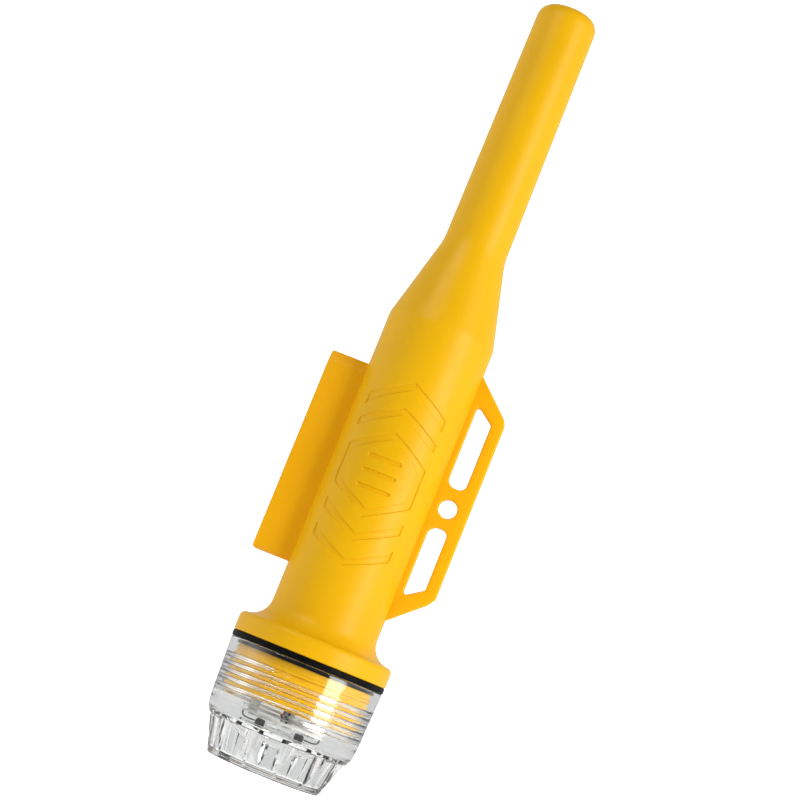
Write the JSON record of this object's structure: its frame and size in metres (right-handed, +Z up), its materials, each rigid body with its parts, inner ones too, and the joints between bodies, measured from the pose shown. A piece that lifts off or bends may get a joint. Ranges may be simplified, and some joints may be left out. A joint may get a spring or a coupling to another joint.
{
  "type": "fishing-net tracking buoy",
  "caption": "Pole-shaped yellow float with a tapered antenna mast, rope plate with grip slots, side pod and a clear screw-on flash-lamp cap.",
  "frame": {"origin": "centre of the lens cap's flat bottom face, which the buoy stands on", "axes": "+Z up along the buoy's axis to the antenna tip, +X towards the rope plate, -X towards the side pod, -Y the face with the moulded chevron panel"},
  "size_m": [0.115, 0.098, 0.5065],
  "materials": {
    "yellow_shell": "satin moulded plastic",
    "clear_cap": "clear polished polycarbonate",
    "black_rubber": "matt",
    "white_plastic": "fine matt",
    "black_plastic": "fine matt",
    "white_board": "white solder mask",
    "green_board": "green solder mask",
    "steel": "stainless",
    "copper": "enamelled copper",
    "cell_wrap": "coloured film sleeve",
    "ceramic": "unglazed",
    "led_face": "phosphor under silicone",
    "foam": "closed-cell foam",
    "red_wire": "silicone insulation",
    "black_wire": "silicone insulation",
    "clear_glass": "clear drawn glass"
  },
  "bodies": {
    "cap": {"lens_cap": "clear_cap"},
    "seal": {"seal_ring": "black_rubber"},
    "float": {"antenna_bulkhead": "white_plastic", "antenna_coax": "black_wire", "antenna_coil": "copper", "antenna_cone": "yellow_shell", "antenna_rod": "white_plastic", "antenna_spacer_lower": "foam", "antenna_spacer_upper": "foam", "antenna_tube": "yellow_shell", "battery_cell_1": "cell_wrap", "battery_cell_2": "cell_wrap", "battery_cell_3": "cell_wrap", "battery_cell_4": "cell_wrap", "body_shell": "yellow_shell", "cell_holder_lower": "black_plastic", "cell_holder_upper": "black_plastic", "cell_strap_front": "steel", "cell_strap_lower": "steel", "cell_strap_rear": "steel", "charge_socket": "steel", "chassis_sled": "white_plastic", "end_plate": "white_plastic", "end_plate_screw_1": "steel", "end_plate_screw_2": "steel", "end_plate_screw_3": "steel", "end_plate_screw_4": "steel", "gnss_patch": "ceramic", "led_1": "led_face", "led_2": "led_face", "led_3": "led_face", "led_4": "led_face", "led_5": "led_face", "led_6": "led_face", "led_board": "white_board", "led_board_screw_1": "steel", "led_board_screw_2": "steel", "led_board_screw_3": "steel", "led_wire_black": "black_wire", "led_wire_red": "red_wire", "main_board": "green_board", "main_board_screw_1": "steel", "main_board_screw_2": "steel", "main_board_screw_3": "steel", "main_board_screw_4": "steel", "neck_o_ring": "black_rubber", "processor_chip": "black_plastic", "radio_shield": "steel", "reed_glass": "clear_glass", "reed_lead_left": "black_wire", "reed_lead_right": "black_wire", "reed_sleeve_left": "black_rubber", "reed_sleeve_right": "black_rubber"}
  },
  "joints": [
    {"name": "float_rise", "type": "slide", "parent": "cap", "child": "seal", "axis": [0, 0, 1], "range_m": [0, 0.0192]},
    {"name": "float_turn", "type": "hinge", "parent": "seal", "child": "float", "pos_m": [0, 0, 0.072], "axis": [0, 0, 1], "range_deg": [0, 1530]}
  ],
  "couplings": [
    {"joint": "float_rise", "follows": "float_turn", "m_per_rad": 0.0007162}
  ]
}
